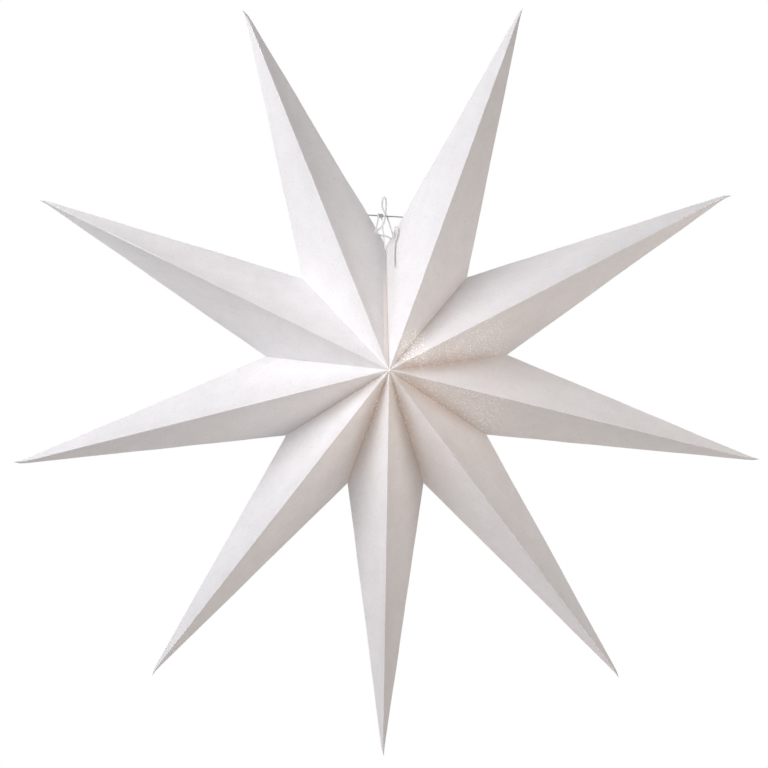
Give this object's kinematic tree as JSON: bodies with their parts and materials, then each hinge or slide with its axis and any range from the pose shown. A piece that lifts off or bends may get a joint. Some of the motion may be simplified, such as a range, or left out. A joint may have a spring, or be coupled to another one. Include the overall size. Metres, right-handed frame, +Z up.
{
  "type": "advent star lamp",
  "caption": "Hanging folded-paper advent star with a lampholder and bulb inside; the star folds flat about its centre line.",
  "frame": {"origin": "crown of the hanging string's loop, where a hook carries the lamp", "axes": "+Z up, -Y to the front of the star, +X to the right seen from the front"},
  "size_m": [0.679, 0.1932, 0.6759],
  "materials": {
    "paper": "embossed white paper with fine glitter",
    "wire": "dull drawn wire",
    "string": "twisted cotton string",
    "holder_plastic": "moulded, satin",
    "nylon": "nylon screw",
    "block_ceramic": "unglazed",
    "brass": "stamped",
    "screw_steel": "zinc plated",
    "bulb_glass": "clear",
    "cap_metal": "rolled",
    "cap_insulator": "black vitreous",
    "light_stick": "phosphor coated",
    "support_metal": "nickel wire"
  },
  "bodies": {
    "root": {"hanger_wire": "wire", "lampholder_bail": "wire", "hanging_string": "string", "tie_string": "string", "holder_sleeve": "holder_plastic", "holder_cap": "holder_plastic", "grip_screw": "nylon", "contact_block": "block_ceramic", "threaded_shell": "brass", "centre_contact": "brass", "terminal_screws": "screw_steel", "point_bottom": "paper"},
    "bulb": {"bulb_globe": "bulb_glass", "bulb_screw_cap": "cap_metal", "bulb_insulator": "cap_insulator", "bulb_contact": "cap_metal", "bulb_stem": "bulb_glass", "bulb_filaments": "light_stick", "filament_support": "support_metal"},
    "bottom_right_body": {"point_bottom_right": "paper"},
    "lower_right_body": {"point_lower_right": "paper"},
    "upper_right_body": {"point_upper_right": "paper"},
    "top_right_body": {"point_top_right": "paper"},
    "bottom_left_body": {"point_bottom_left": "paper"},
    "lower_left_body": {"point_lower_left": "paper"},
    "upper_left_body": {"point_upper_left": "paper"},
    "top_left_body": {"point_top_left": "paper"}
  },
  "joints": [
    {"name": "fold_bottom_right", "type": "hinge", "parent": "root", "child": "bottom_right_body", "pos_m": [0, 0, -0.1581], "axis": [0, 1, 0], "range_deg": [0, 35.6], "deforming": ["point_bottom_right", "point_bottom"]},
    {"name": "fold_lower_right", "type": "hinge", "parent": "root", "child": "lower_right_body", "pos_m": [0, 0, -0.1581], "axis": [0, 1, 0], "range_deg": [0, 72.46], "deforming": ["point_lower_right"]},
    {"name": "fold_upper_right", "type": "hinge", "parent": "root", "child": "upper_right_body", "pos_m": [0, 0, -0.1581], "axis": [0, 1, 0], "range_deg": [0, 111.26], "deforming": ["point_upper_right"]},
    {"name": "fold_top_right", "type": "hinge", "parent": "root", "child": "top_right_body", "pos_m": [0, 0, -0.1581], "axis": [0, 1, 0], "range_deg": [0, 151.76], "deforming": ["point_top_right"]},
    {"name": "fold_bottom_left", "type": "hinge", "parent": "root", "child": "bottom_left_body", "pos_m": [0, 0, -0.1581], "axis": [0, 1, 0], "range_deg": [-35.6, 0], "deforming": ["point_bottom_left"]},
    {"name": "fold_lower_left", "type": "hinge", "parent": "root", "child": "lower_left_body", "pos_m": [0, 0, -0.1581], "axis": [0, 1, 0], "range_deg": [-72.46, 0], "deforming": ["point_lower_left"]},
    {"name": "fold_upper_left", "type": "hinge", "parent": "root", "child": "upper_left_body", "pos_m": [0, 0, -0.1581], "axis": [0, 1, 0], "range_deg": [-111.26, 0], "deforming": ["point_upper_left"]},
    {"name": "fold_top_left", "type": "hinge", "parent": "root", "child": "top_left_body", "pos_m": [0, 0, -0.1581], "axis": [0, 1, 0], "range_deg": [-151.76, 0], "deforming": ["point_top_left"]},
    {"name": "bulb_unscrew", "type": "slide", "parent": "root", "child": "bulb", "axis": [0, 0, -1], "range_m": [0, 0.014]}
  ],
  "couplings": [
    {"joint": "fold_lower_right", "follows": "fold_bottom_right", "ratio": 2.0355},
    {"joint": "fold_upper_right", "follows": "fold_bottom_right", "ratio": 3.1253},
    {"joint": "fold_top_right", "follows": "fold_bottom_right", "ratio": 4.263},
    {"joint": "fold_bottom_left", "follows": "fold_bottom_right", "ratio": -1},
    {"joint": "fold_lower_left", "follows": "fold_bottom_right", "ratio": -2.0355},
    {"joint": "fold_upper_left", "follows": "fold_bottom_right", "ratio": -3.1253},
    {"joint": "fold_top_left", "follows": "fold_bottom_right", "ratio": -4.263}
  ]
}
